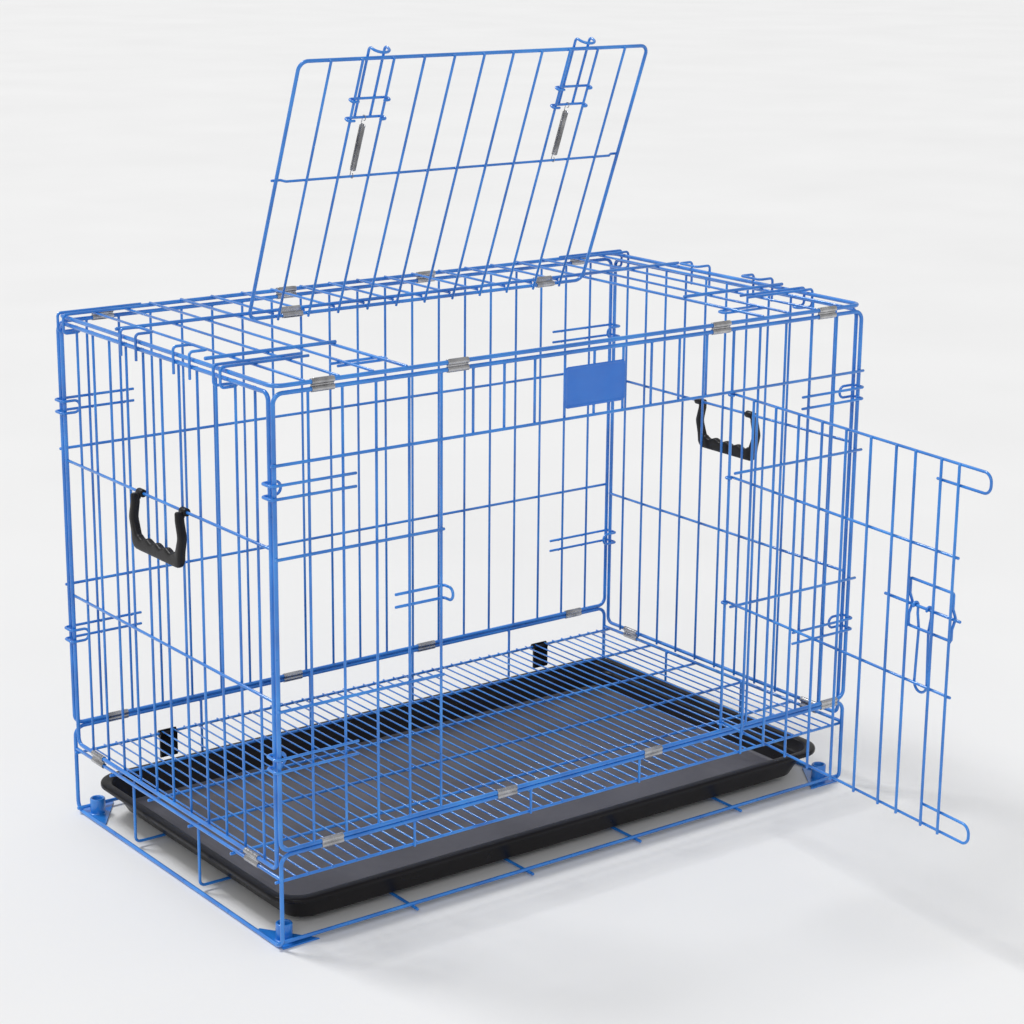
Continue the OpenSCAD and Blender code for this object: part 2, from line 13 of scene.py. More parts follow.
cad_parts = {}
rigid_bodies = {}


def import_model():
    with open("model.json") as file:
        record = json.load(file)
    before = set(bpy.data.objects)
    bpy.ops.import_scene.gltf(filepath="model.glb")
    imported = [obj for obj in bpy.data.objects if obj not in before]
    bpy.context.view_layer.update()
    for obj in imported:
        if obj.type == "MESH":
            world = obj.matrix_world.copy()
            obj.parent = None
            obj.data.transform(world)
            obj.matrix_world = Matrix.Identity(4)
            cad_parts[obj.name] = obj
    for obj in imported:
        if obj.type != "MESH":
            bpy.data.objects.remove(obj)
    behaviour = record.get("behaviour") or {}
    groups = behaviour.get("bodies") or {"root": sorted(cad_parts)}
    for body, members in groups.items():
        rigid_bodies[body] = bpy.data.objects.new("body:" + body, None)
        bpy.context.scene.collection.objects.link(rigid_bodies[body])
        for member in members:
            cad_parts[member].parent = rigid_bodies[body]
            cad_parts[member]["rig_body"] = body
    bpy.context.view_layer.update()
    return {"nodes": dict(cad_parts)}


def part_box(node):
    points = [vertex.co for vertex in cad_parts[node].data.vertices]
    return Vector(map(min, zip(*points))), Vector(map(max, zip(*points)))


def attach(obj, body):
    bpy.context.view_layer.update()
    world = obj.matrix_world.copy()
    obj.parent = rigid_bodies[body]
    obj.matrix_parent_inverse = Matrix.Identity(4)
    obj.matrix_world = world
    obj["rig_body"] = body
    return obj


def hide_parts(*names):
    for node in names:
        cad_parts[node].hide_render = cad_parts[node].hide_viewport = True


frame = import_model()
MM = 0.001


# ---- sizes: the driving ones come from the CAD nodes' boxes ----

FRAME_R = 2.2
UPRIGHT_R = 1.45
CROSS_R = 1.6
FINE_R = 1.0
HOOK_R = 1.5
ROOF_WIRE_R = 1.4
BAR_R = 1.9
RAIL_R = 2.0


def cad_top(node):
    """Highest corner of a CAD node in millimetres, to a tenth."""
    return [round(v / MM, 1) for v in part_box(node)[1]]


HALF_L, HALF_W, BASE_H = [v - FRAME_R for v in cad_top("base_frame")]
WALL_TOP = cad_top("back_panel")[2] - FRAME_R
SILL_Z = BASE_H + 2 * FRAME_R + 0.2
ROOF_Z = WALL_TOP + 7
ROOF_WIRE_Z = ROOF_Z + 2.1
ROOF_BAR_Z = ROOF_Z + 5.1
BAR_Y = 90
SECOND_BAR_Y = -92
SIDE_Y = HALF_W - 8
SIDE_LOW_Z = 83
GRID_Z = 75
SUPPORT_Z = GRID_Z - RAIL_R - CROSS_R + 0.3
SUPPORT_BACK_Y = HALF_W - 6.7
SUPPORT_YS = [3.8 - HALF_W, -129, -43, 43, 129, SUPPORT_BACK_Y]
FINE_PITCH = 14.5
FINE_COUNT = 25
STUB = 5
RAIL_Z = 6.3
CARRIER_XS = [-222, -74, 74, 222]
CARRIER_Y = HALF_W - 3.5
CARRIER_Z = 3.0
END_U_YS = [-50, 90]
END_U_X = HALF_L - 3.5
END_U_Z = 5.9
FRONT_PITCH = 38
BACK_PITCH = 38.5
SIDE_PITCH = 36.4
CROSS_Y = HALF_W + UPRIGHT_R + CROSS_R - 0.3
HOOK_Y = HALF_W + FRAME_R + HOOK_R - 0.15
HOOK_END_Y = SIDE_Y - 5.5
HOOK_PITCH = 13
FRONT_HOOK_ZS = [472, 201]
BACK_HOOK_ZS = {-1: [474, 217], 1: [474, 204]}
ROOF_HOOK_YS = [206.5, -121]
HATCH_STOP_YS = [-158.5, -171.5]
LOOP_YS = [38.5, 70.5]
HEADER_Z = 491
FRONT_RUNG_ZS = [249, 400]
BACK_RUNG_ZS = [266, 419]
HINGE_X = 190
CATCH_Z = 334
CATCH_Y = HALF_W - UPRIGHT_R - HOOK_R + 0.35
CATCH_END_X = 243.5
SIDE_WIRE_X = HALF_L - FRAME_R - UPRIGHT_R + 0.3
SIDE_WIRE_ZS = [256, 408]
HANDLE_X = HALF_L - 0.6
HANDLE_EYE_Y = 45
SOCKET_X = HALF_L - 14
SOCKET_Y = HALF_W - 20
TRAY_CATCH_X = 18.5 * FINE_PITCH
BASE_FRONT_CLIP_XS = [-321.5, -107, 91, 356.2]
BACK_CLIP_XS = [-327.25, -96.25, 96.25, 327.25]
ROOF_FRONT_CLIP_XS = [-326, -171, 171, 326]
BASE_SIDE_CLIP_Y = 164
HATCH_CLIP_X = 171
RIM_X, RIM_Y, RIM_Z = cad_top("tray")
TRAY_FLOOR_TOP = 14

# hatch, in x, s towards its free edge and n upwards when it is shut
HATCH_HALF = 225
HATCH_L = 297
HATCH_R = 2.0
HATCH_Y = BAR_Y - 5
HATCH_Z = ROOF_Z - 0.4
HATCH_OPEN = 68.3
HATCH_IN_N = 0.3 - HATCH_R - UPRIGHT_R
HATCH_MID_S = 163
LATCH_X = 133
LATCH_HALF = 9.5
LATCH_BARS = [230.5, 252]
LATCH_N = HATCH_R + HOOK_R + 0.2
LATCH_BAR_N = LATCH_N - HOOK_R - ROOF_WIRE_R + 0.1
LATCH_TIP = HATCH_L + 11.3
SPRING_R = 2.85
SPRING_WIRE_R = 0.45

# door, in w from the hinge, n outwards and z
DOOR_OPEN = 84.8
EYE_R = CROSS_R + 0.08 + HOOK_R
LIP_N = EYE_R
UPRIGHT_N = LIP_N - 2 * HOOK_R + 0.3
DOOR_TOP_Z = HEADER_Z - 3.5
DOOR_LOW_Z = SILL_Z + 9.9
DOOR_RUNG_ZS = [396, 255]
DOOR_WIRE_ZS = [DOOR_TOP_Z] + DOOR_RUNG_ZS + [DOOR_LOW_Z]
DOOR_REACH = 397
DOOR_EDGE = 2 * HINGE_X - 24
GUIDE_W = 294
LAST_UPRIGHT_W = 331
BOLT_N = UPRIGHT_N + HOOK_R + CROSS_R + 0.17
GRIP_W = [303, 322]

HATCH_PLACE = (Matrix.Translation((0, HATCH_Y, HATCH_Z))
               @ Matrix.Rotation(math.radians(-HATCH_OPEN), 4, "X")
               @ Matrix.Diagonal((1, -1, 1, 1)))
DOOR_PLACE = (Matrix.Translation((HINGE_X, -HALF_W, 0))
              @ Matrix.Rotation(math.radians(DOOR_OPEN), 4, "Z")
              @ Matrix.Diagonal((-1, -1, 1, 1)))


# ---- materials ----

class Nodes:
    """A material's node tree, with the principled shader and object coordinates ready."""

    def __init__(self, name):
        self.material = bpy.data.materials.new(name)
        self.material.use_nodes = True
        self.tree = self.material.node_tree
        self.shader = self.tree.nodes["Principled BSDF"]
        self.place = self.tree.nodes.new("ShaderNodeTexCoord").outputs["Object"]

    def noise(self, scale, detail=3, stretch=None):
        """Noise of so many waves per metre, stretched along the axes if asked."""
        node = self.tree.nodes.new("ShaderNodeTexNoise")
        node.inputs["Scale"].default_value = scale
        node.inputs["Detail"].default_value = detail
        if stretch:
            mapping = self.tree.nodes.new("ShaderNodeMapping")
            mapping.inputs["Scale"].default_value = stretch
            self.tree.links.new(self.place, mapping.inputs["Vector"])
            self.tree.links.new(mapping.outputs["Vector"], node.inputs["Vector"])
        else:
            self.tree.links.new(self.place, node.inputs["Vector"])
        return node.outputs["Fac"]

    def ramp(self, fac, stops):
        """Colour ramp through (position, colour) stops."""
        node = self.tree.nodes.new("ShaderNodeValToRGB")
        band = node.color_ramp.elements
        while len(band) < len(stops):
            band.new(0.5)
        for element, (position, colour) in zip(band, stops):
            element.position = position
            element.color = (*colour, 1)
        self.tree.links.new(fac, node.inputs["Fac"])
        return node.outputs["Color"]

    def between(self, fac, low, high):
        """Maps the middle of a noise to low..high."""
        node = self.tree.nodes.new("ShaderNodeMapRange")
        node.inputs["From Min"].default_value = 0.3
        node.inputs["From Max"].default_value = 0.7
        node.inputs["To Min"].default_value = low
        node.inputs["To Max"].default_value = high
        self.tree.links.new(fac, node.inputs["Value"])
        return node.outputs["Result"]

    def bump(self, heights):
        """Chains (noise, height in metres) into the shader's normal."""
        normal = None
        for fac, height in heights:
            node = self.tree.nodes.new("ShaderNodeBump")
            node.inputs["Distance"].default_value = height
            self.tree.links.new(fac, node.inputs["Height"])
            if normal:
                self.tree.links.new(normal, node.inputs["Normal"])
            normal = node.outputs["Normal"]
        self.tree.links.new(normal, self.shader.inputs["Normal"])

    def link(self, output, socket):
        self.tree.links.new(output, self.shader.inputs[socket])

    def set(self, **values):
        for socket, value in values.items():
            self.shader.inputs[socket.replace("_", " ")].default_value = value


def powder_coat(name, deep, mid, light, rough=(0.26, 0.4), peel=0.00005):
    """Glossy powder coat: cloudy colour, orange peel and fine specks."""
    n = Nodes(name)
    n.link(n.ramp(n.noise(22, 4), [(0.3, deep), (0.52, mid), (0.75, light)]), "Base Color")
    n.link(n.between(n.noise(140, 4), *rough), "Roughness")
    n.bump([(n.noise(900, 2), peel), (n.noise(5200, 2), peel / 6)])
    n.set(Coat_Weight=0.7, Coat_Roughness=0.1, IOR=1.52)
    return n.material


def zinc_sheet(name, deep, light, rough, brushed):
    """Bright zinc-plated steel with drawn streaks and cloudy roughness."""
    n = Nodes(name)
    n.link(n.ramp(n.noise(60, 5), [(0.3, deep), (0.7, light)]), "Base Color")
    n.link(n.between(n.noise(260, 4), *rough), "Roughness")
    n.bump([(n.noise(500, 3, brushed), 0.00005), (n.noise(2600, 2), 0.00001)])
    n.set(Metallic=1.0)
    return n.material


def moulded_plastic(name, deep, light, rough, grain, height, gloss):
    """Black moulded plastic: fine leather grain, dusty clouds and a soft sheen."""
    n = Nodes(name)
    n.link(n.ramp(n.noise(9, 5), [(0.35, deep), (0.7, light)]), "Base Color")
    n.link(n.between(n.noise(35, 5), *rough), "Roughness")
    n.bump([(n.noise(grain, 3), height), (n.noise(grain / 9, 3), height * 1.5)])
    n.set(IOR=1.49, Specular_IOR_Level=gloss)
    return n.material


def floor_finish():
    """Pale studio paper."""
    n = Nodes("studio_floor")
    n.link(n.ramp(n.noise(1.5, 3), [(0.3, (0.80, 0.80, 0.80)), (0.7, (0.83, 0.83, 0.83))]),
           "Base Color")
    n.link(n.between(n.noise(4, 3), 0.62, 0.75), "Roughness")
    n.bump([(n.noise(300, 3), 0.0001)])
    return n.material


PAINT = powder_coat("blue_powder_coat", (0.010, 0.150, 0.55), (0.018, 0.215, 0.70),
                    (0.035, 0.29, 0.82))
PLATE = powder_coat("blue_plate_paint", (0.003, 0.125, 0.56), (0.005, 0.155, 0.64),
                    (0.009, 0.185, 0.70), rough=(0.34, 0.46), peel=0.00008)
ZINC = zinc_sheet("zinc_clip", (0.30, 0.30, 0.31), (0.62, 0.62, 0.63), (0.16, 0.34), (1, 14, 14))
SPRING = zinc_sheet("spring_wire", (0.24, 0.24, 0.25), (0.60, 0.60, 0.61), (0.2, 0.32), (8, 8, 8))
TRAY = moulded_plastic("tray_plastic", (0.004, 0.003, 0.004), (0.009, 0.008, 0.010),
                       (0.26, 0.38), 1500, 0.00005, 0.22)
# The tray floor's pale grey colour is painted sheen, a painted reflection of the pale surround on the black
# floor; its coarser grain and roughness are the plastic's own.
TRAY_FLOOR_PAINTED_SHEEN = moulded_plastic("tray_floor_painted_sheen", (0.085, 0.083, 0.095), (0.125, 0.122, 0.138),
                             (0.42, 0.56), 900, 0.00012, 0.4)
CATCH = moulded_plastic("catch_plastic", (0.004, 0.004, 0.005), (0.010, 0.010, 0.011),
                        (0.3, 0.42), 2200, 0.00003, 0.3)
HANDLE = moulded_plastic("handle_plastic", (0.005, 0.0045, 0.005), (0.013, 0.012, 0.013),
                         (0.34, 0.48), 1800, 0.00006, 0.3)


# ---- mesh tools ----

class Shape:
    """Vertices in millimetres and faces, collected for one piece."""

    def __init__(self, place=None):
        self.verts = []
        self.faces = []
        self.place = place or Matrix.Identity(4)

    def add(self, verts, faces):
        base = len(self.verts)
        self.verts += [self.place @ Vector(v) for v in verts]
        self.faces += [[base + i for i in face] for face in faces]

    def loft(self, rings, closed=False, caps=True):
        """Skin through rings of equally many points."""
        count = len(rings[0])
        faces = []
        for i in range(len(rings) if closed else len(rings) - 1):
            a = i * count
            b = (i + 1) % len(rings) * count
            for k in range(count):
                m = (k + 1) % count
                faces.append([a + k, a + m, b + m, b + k])
        if caps and not closed:
            faces.append(list(range(count))[::-1])
            faces.append([(len(rings) - 1) * count + k for k in range(count)])
        self.add([p for r in rings for p in r], faces)


def rounded(path, bend, closed):
    """Points along a path whose corners are bent to a radius, or to one radius for each corner."""
    step = math.radians(11)
    points = []
    for i, p in enumerate(path):
        radius = bend[i] if isinstance(bend, list) else bend
        end = not closed and i in (0, len(path) - 1)
        u = (p - path[i - 1]).normalized()
        v = (path[(i + 1) % len(path)] - p).normalized()
        turn = 0 if end else u.angle(v)
        if radius == 0 or turn < 0.01:
            points.append(p)
            continue
        side = (v - u * u.dot(v)).normalized()
        centre = p - u * radius * math.tan(turn / 2) + side * radius
        steps = max(2, math.ceil(turn / step))
        for k in range(steps + 1):
            a = turn * k / steps
            points.append(centre + (u * math.sin(a) - side * math.cos(a)) * radius)
    return points


def frames(points, closed):
    """Tangent and two normals at each point, carried along without twist."""
    last = len(points) - 1
    tangents = []
    for i in range(len(points)):
        a = points[i - 1] if closed or i else points[0]
        b = points[(i + 1) % len(points)] if closed or i < last else points[last]
        tangents.append((b - a).normalized())
    normal = tangents[0].orthogonal().normalized()
    normals = []
    for t in tangents:
        normal = (normal - t * normal.dot(t)).normalized()
        normals.append(normal)
    twist = 0
    if closed:
        back = normals[-1] - tangents[0] * normals[-1].dot(tangents[0])
        twist = math.atan2(back.cross(normals[0]).dot(tangents[0]), back.dot(normals[0]))
    out = []
    for i, (t, n) in enumerate(zip(tangents, normals)):
        n = Matrix.Rotation(twist * i / len(points), 3, t) @ n
        out.append((t, n, t.cross(n)))
    return out


END_PROFILE = [(0, 0.6), (0.14, 0.87), (0.45, 1)]   # cropped wire end: distance and radius, per radius


def tube(shape, path, r, bend=6, closed=False, sides=12):
    """Wire along a path, bent at its corners and softened at its cut ends."""
    points = rounded([Vector(p) for p in path], bend, closed)
    radii = [r] * len(points)
    if not closed:
        u = (points[1] - points[0]).normalized()
        w = (points[-1] - points[-2]).normalized()
        head = [points[0] + u * d * r for d, _ in END_PROFILE]
        tail = [points[-1] - w * d * r for d, _ in reversed(END_PROFILE)]
        ends = [r * k for _, k in END_PROFILE]
        points = head + points[1:-1] + tail
        radii = ends + radii[1:-1] + ends[::-1]
    turns = [2 * math.pi * k / sides for k in range(sides)]
    rings = []
    for p, size, (_, n, b) in zip(points, radii, frames(points, closed)):
        rings.append([p + (n * math.cos(a) + b * math.sin(a)) * size for a in turns])
    shape.loft(rings, closed)


def rod(shape, a, b, r, sides=12):
    tube(shape, [a, b], r, 0, sides=sides)


def weld(shape, p, size):
    """Small nugget of coated weld metal where two wires cross; size is its three half sizes."""
    turns = 8
    levels = [-0.97, -0.72, -0.26, 0.26, 0.72, 0.97]
    rings = []
    for level in levels:
        girth = math.sqrt(1 - level * level)
        rings.append([(p[0] + size[0] * girth * math.cos(2 * math.pi * k / turns),
                       p[1] + size[1] * girth * math.sin(2 * math.pi * k / turns),
                       p[2] + size[2] * level) for k in range(turns)])
    shape.loft(rings)


def lathe(shape, profile, centre, axis, sides=40):
    """Turned solid: a closed profile of (radius, height) points about an axis X, Y or Z."""
    order = {"X": (2, 0, 1), "Y": (1, 2, 0), "Z": (0, 1, 2)}[axis]
    rings = []
    for k in range(sides):
        a = 2 * math.pi * k / sides
        ring = []
        for radius, height in profile:
            p = (radius * math.cos(a), radius * math.sin(a), height)
            ring.append(Vector(centre) + Vector([p[i] for i in order]))
        rings.append(ring)
    shape.loft(rings, closed=True)


def arc(centre, radius, start, stop, count):
    """Points of an arc in a plane, in degrees."""
    out = []
    for k in range(count + 1):
        a = math.radians(start + (stop - start) * k / count)
        out.append((centre[0] + radius * math.cos(a), centre[1] + radius * math.sin(a)))
    return out


def rounded_rect(half_x, half_y, corner, z, steps=12):
    """Closed outline of a rectangle with round corners at height z."""
    out = []
    for sx, sy, start in ((1, 1, 0), (-1, 1, 90), (-1, -1, 180), (1, -1, 270)):
        centre = (sx * (half_x - corner), sy * (half_y - corner))
        out += [(x, y, z) for x, y in arc(centre, corner, start, start + 90, steps)]
    return out


def piece(node, build, finish, place=None, bevel=0):
    """Makes the piece that stands for a CAD node and rides on that node's body."""
    shape = Shape(place)
    build(shape)
    mesh = bpy.data.meshes.new(node + "_made")
    mesh.from_pydata([v * MM for v in shape.verts], [], shape.faces)
    work = bmesh.new()
    work.from_mesh(mesh)
    bmesh.ops.recalc_face_normals(work, faces=work.faces)
    work.to_mesh(mesh)
    work.free()
    mesh.shade_smooth()
    mesh.set_sharp_from_angle(angle=math.radians(48))
    mesh.materials.append(finish)
    obj = bpy.data.objects.new(node + "_made", mesh)
    bpy.context.scene.collection.objects.link(obj)
    if bevel:
        edge = obj.modifiers.new("soft_edges", "BEVEL")
        edge.width = bevel * MM
        edge.segments = 2
        edge.limit_method = "ANGLE"
        edge.angle_limit = math.radians(40)
    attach(obj, frame["nodes"][node]["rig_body"])
    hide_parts(node)
    return obj


def wires(node, build, place=None):
    """A piece of coated wire."""
    return piece(node, build, PAINT, place)


# ---- base ----

def base_frame(shape):
    low = FRAME_R
    tube(shape, [(-HALF_L, -HALF_W, BASE_H), (HALF_L, -HALF_W, BASE_H),
                 (HALF_L, -HALF_W, low), (HALF_L, HALF_W, low),
                 (HALF_L, HALF_W, BASE_H), (-HALF_L, HALF_W, BASE_H),
                 (-HALF_L, HALF_W, low), (-HALF_L, -HALF_W, low)], FRAME_R, 11, True, 14)
    for x in CARRIER_XS:
        rod(shape, (x, 0.8 - HALF_W, SUPPORT_Z - 1.5), (x, 0.8 - HALF_W, BASE_H - 1.5), ROOF_WIRE_R)
        weld(shape, (x, 0.3 - HALF_W, BASE_H - 2.3), (1.9, 1.7, 1.3))


def tray_wires(shape):
    for y in (3.8 - HALF_W, HALF_W - 7.7):
        rod(shape, (-HALF_L - STUB, y, RAIL_Z), (HALF_L + STUB, y, RAIL_Z), RAIL_R, 14)
        for x in CARRIER_XS:
            weld(shape, (x, y, CARRIER_Z + CROSS_R), (1.9, 1.9, 0.9))
        for side in (-1, 1):
            weld(shape, (side * HALF_L, y, FRAME_R + 2.1), (1.9, 1.9, 1.0))
    for x in CARRIER_XS:
        tube(shape, [(x, CARRIER_Y, BASE_H + 1), (x, CARRIER_Y, CARRIER_Z),
                     (x, -HALF_W - STUB, CARRIER_Z)], CROSS_R, 4.3)
        weld(shape, (x, CARRIER_Y + 1.6, BASE_H - 1), (1.8, 1.2, 1.7))


def base_side_wires(shape):
    for y in END_U_YS:
        tube(shape, [(-END_U_X, y, GRID_Z + 1), (-END_U_X, y, END_U_Z),
                     (END_U_X, y, END_U_Z), (END_U_X, y, GRID_Z + 1)], CROSS_R, 6)
        for side in (-1, 1):
            weld(shape, (side * (END_U_X + 1.6), y, GRID_Z - 0.8), (1.1, 1.9, 1.6))


def floor_grid(shape):
    for side in (-1, 1):
        rod(shape, (side * HALF_L, FRAME_R - HALF_W, GRID_Z),
            (side * HALF_L, HALF_W - FRAME_R, GRID_Z), RAIL_R)
    for y in SUPPORT_YS:
        rod(shape, (-HALF_L - STUB, y, SUPPORT_Z), (HALF_L + STUB, y, SUPPORT_Z), CROSS_R)
    for k in range(-FINE_COUNT, FINE_COUNT + 1):
        x = k * FINE_PITCH
        rod(shape, (x, 2 - HALF_W, GRID_Z - FINE_R), (x, SUPPORT_BACK_Y + 1.1, GRID_Z - FINE_R),
            FINE_R, 8)
        for y in SUPPORT_YS:
            weld(shape, (x, y, GRID_Z - 1.9), (1.3, 1.4, 0.6))


def corner_plates(shape):
    """Stamped foot plates, notched on the slant, with a weld bead round each socket."""
    far = HALF_L - 1.5
    back = HALF_W - 1
    thick = 1.5
    notch = arc((far, back - 58), 6, 90, 139, 6)
    outline = [(far, back), (far - 42, back)] + notch[::-1]
    for sx in (-1, 1):
        for sy in (-1, 1):
            rings = [[(sx * x, sy * y, z) for x, y in outline] for z in (0, thick)]
            shape.loft(rings)
            centre = (sx * SOCKET_X, sy * SOCKET_Y, 0)
            socket(shape, centre)
            lathe(shape, [(8.3, thick - 0.2), (10.2, thick), (8.8, thick + 0.5), (8.3, thick + 1.6)],
                  centre, "Z", 32)


def socket(shape, centre):
    """Drawn tube for a caster stem, its lip rolled."""
    bore = 5.6
    outer = 8.5
    high = 19
    lathe(shape, [(bore, 0.5), (bore, high - 1.2), (bore + 0.5, high - 0.3), (bore + 1.3, high),
                  (outer - 0.9, high), (outer - 0.2, high - 0.5), (outer, high - 1.4), (outer, 0.5),
                  (outer - 0.5, 0), (bore + 0.5, 0)], centre, "Z")


def tray_catches(shape):
    """Two snap hooks: a split ring round the rear support and a tab down behind the tray's rim."""
    width = 22
    ring_r = 4.2
    bore = CROSS_R + 0.06
    centre = (SUPPORT_BACK_Y, SUPPORT_Z)
    tab_back = centre[0] - 0.6
    tab_front = centre[0] - 3.2
    tip = RIM_Z + 3
    outline = arc(centre, ring_r, 105, -97, 18)
    outline += [(tab_back, tip + 3)] + arc((centre[0] - 1.9, tip), 1.3, 0, -180, 6)
    outline += [(tab_front - 0.9, tip + 1.6), (tab_front, tip + 4.5)]
    outline += arc(centre, ring_r, -141, -225, 8) + arc(centre, bore, -225, 105, 24)
    steps = [(-1, 0.25), (-0.965, 0), (0.965, 0), (1, 0.25)]
    middle = Vector((centre[0] - 0.8, (SUPPORT_Z + tip) / 2))
    for side in (-1, 1):
        rings = []
        for place, inset in steps:
            x = side * TRAY_CATCH_X + place * width / 2
            ring = []
            for y, z in outline:
                pull = (middle - Vector((y, z))).normalized() * inset
                ring.append((x, y + pull.x, z + pull.y))
            rings.append(ring)
        shape.loft(rings)
        for rib in (-1, 1):
            x = side * TRAY_CATCH_X + rib * 4
            rod(shape, (x, tab_back + 0.2, tip + 4), (x, tab_back + 0.2, SUPPORT_Z - 5.5), 0.7, 8)


# ---- front and back panels ----

def wall_ring(shape, y):
    tube(shape, [(-HALF_L, y, SILL_Z), (HALF_L, y, SILL_Z), (HALF_L, y, WALL_TOP),
                 (-HALF_L, y, WALL_TOP)], FRAME_R, 10, True, 14)


def upright(shape, x, y, low, high, r):
    """Upright wire butt-welded between two edge wires, with the weld's little collars."""
    rod(shape, (x, y, low), (x, y, high), r)
    weld(shape, (x, y, low + 3), (r + 0.55, r + 0.55, 1.6))
    weld(shape, (x, y, high - 2.6), (r + 0.55, r + 0.55, 1.6))


def front_panel(shape):
    """Front wall: full uprights beside the doorway, short ones over it; the fifth right one is the hinge."""
    y = -HALF_W
    wall_ring(shape, y)
    for k in range(5, 10):
        for side in (-1, 1):
            r = CROSS_R if side * k == 5 else UPRIGHT_R
            upright(shape, side * k * FRONT_PITCH, y, SILL_Z - 1.5, WALL_TOP + 1, r)
            for z in FRONT_RUNG_ZS + [HEADER_Z]:
                if side * k != 5 or z == HEADER_Z:
                    weld(shape, (side * k * FRONT_PITCH, y - 1.45, z), (1.7, 0.8, 1.8))
    for k in range(-4, 5):
        rod(shape, (k * FRONT_PITCH, y, HEADER_Z - 1.5), (k * FRONT_PITCH, y, WALL_TOP + 1), UPRIGHT_R)
        weld(shape, (k * FRONT_PITCH, y, WALL_TOP - 1.6), (2, 2, 1.6))
        weld(shape, (k * FRONT_PITCH, y - 1.45, HEADER_Z), (1.7, 0.8, 1.8))
    rod(shape, (-HALF_L - STUB, -CROSS_Y, HEADER_Z), (HALF_L + STUB, -CROSS_Y, HEADER_Z), CROSS_R)
    for z in FRONT_RUNG_ZS:
        rod(shape, (-HALF_L - 2, -CROSS_Y, z), (2 - HINGE_X, -CROSS_Y, z), CROSS_R)
        rod(shape, (HINGE_X + 5, -CROSS_Y, z), (HALF_L + 8, -CROSS_Y, z), CROSS_R)


def door_catch(shape):
    leg = 6.5
    inner = 5 - HINGE_X
    out_y = -HALF_W - 13
    tube(shape, [(-CATCH_END_X, -CATCH_Y, CATCH_Z + leg), (inner, -CATCH_Y, CATCH_Z + leg),
                 (inner, out_y, CATCH_Z + leg), (inner, out_y, CATCH_Z - leg),
                 (inner, -CATCH_Y, CATCH_Z - leg), (-CATCH_END_X, -CATCH_Y, CATCH_Z - leg)],
         HOOK_R, [0, 3, 6.4, 6.4, 3, 0])
    for k in (5, 6):
        for side in (-1, 1):
            weld(shape, (-k * FRONT_PITCH, -CATCH_Y - 1.3, CATCH_Z + side * leg), (1.7, 0.9, 1.7))


def name_plate(shape):
    """Pressed plate with a raised border and nothing on it."""
    low, high = [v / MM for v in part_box("name_plate")]
    half_x = (high.x - low.x) / 2
    half_z = (high.z - low.z) / 2
    middle = (high.z + low.z) / 2
    steps = [(0.2, high.y), (0, high.y - 0.2), (0, low.y + 0.35), (0.35, low.y),
             (2.2, low.y), (2.8, low.y + 0.4), (3.6, low.y + 0.45)]
    rings = []
    for inset, y in steps:
        flat = rounded_rect(half_x - inset, half_z - inset, max(5 - inset, 1.2), 0)
        rings.append([(x, y, middle + z) for x, z, _ in flat])
    shape.loft(rings)


def back_panel(shape):
    wall_ring(shape, HALF_W)
    for k in range(-9, 10):
        upright(shape, k * BACK_PITCH, HALF_W, SILL_Z - 1.5, WALL_TOP + 1, UPRIGHT_R)
        for z in BACK_RUNG_ZS:
            weld(shape, (k * BACK_PITCH, HALF_W + 1.45, z), (1.7, 0.8, 1.8))
    for z in BACK_RUNG_ZS:
        rod(shape, (-HALF_L - 3, CROSS_Y, z), (HALF_L + 3, CROSS_Y, z), CROSS_R)


def corner_hook(shape, side, face, z):
    """Hairpin round a corner; its closed end holds the side panel's post."""
    out = HALF_L + 6
    leg = [(291, face * HOOK_Y, z), (out, face * HOOK_Y, z), (out, face * HOOK_END_Y, z),
           (365, face * HOOK_END_Y, z)]
    path = leg + [(x, y, z - HOOK_PITCH) for x, y, _ in reversed(leg)]
    tube(shape, [(side * x, y, z) for x, y, z in path], HOOK_R, [0, 4, 4, 6.4, 6.4, 4, 4, 0])
    for x in (8 * FRONT_PITCH, 9 * FRONT_PITCH, HALF_L):
        for level in (z, z - HOOK_PITCH):
            weld(shape, (side * x, face * (HOOK_Y - 1.6), level), (1.7, 0.9, 1.6))


def corner_hooks_front(shape):
    for side in (-1, 1):
        for z in FRONT_HOOK_ZS:
            corner_hook(shape, side, -1, z)


def corner_hooks_back(shape):
    for side, heights in BACK_HOOK_ZS.items():
        for z in heights:
            corner_hook(shape, side, 1, z)


# ---- roof ----

def roof_panel(shape):
    x = HALF_L - 1
    edge = 6
    tube(shape, [(-x, -HALF_W, ROOF_Z), (x, -HALF_W, ROOF_Z), (x, HALF_W, ROOF_Z),
                 (-x, HALF_W, ROOF_Z)], FRAME_R, 12, True, 14)
    for k in range(-9, 10):
        outer = abs(k) >= edge
        start = -HALF_W - 1 if outer else BAR_Y - 2
        rod(shape, (k * BACK_PITCH, start, ROOF_WIRE_Z), (k * BACK_PITCH, HALF_W + 1, ROOF_WIRE_Z),
            CROSS_R if abs(k) == edge else ROOF_WIRE_R)
        weld(shape, (k * BACK_PITCH, HALF_W - 1, ROOF_WIRE_Z - 0.6), (1.8, 1.9, 0.9))
        weld(shape, (k * BACK_PITCH, BAR_Y, ROOF_WIRE_Z + 1.3), (1.7, 1.8, 0.7))
        if outer:
            weld(shape, (k * BACK_PITCH, 1 - HALF_W, ROOF_WIRE_Z - 0.6), (1.8, 1.9, 0.9))
            weld(shape, (k * BACK_PITCH, SECOND_BAR_Y, ROOF_WIRE_Z + 1.3), (1.7, 1.8, 0.7))
    rod(shape, (-x, BAR_Y, ROOF_BAR_Z), (x, BAR_Y, ROOF_BAR_Z), BAR_R, 14)
    for side in (-1, 1):
        rod(shape, (side * 229, SECOND_BAR_Y, ROOF_BAR_Z), (side * x, SECOND_BAR_Y, ROOF_BAR_Z),
            BAR_R, 14)


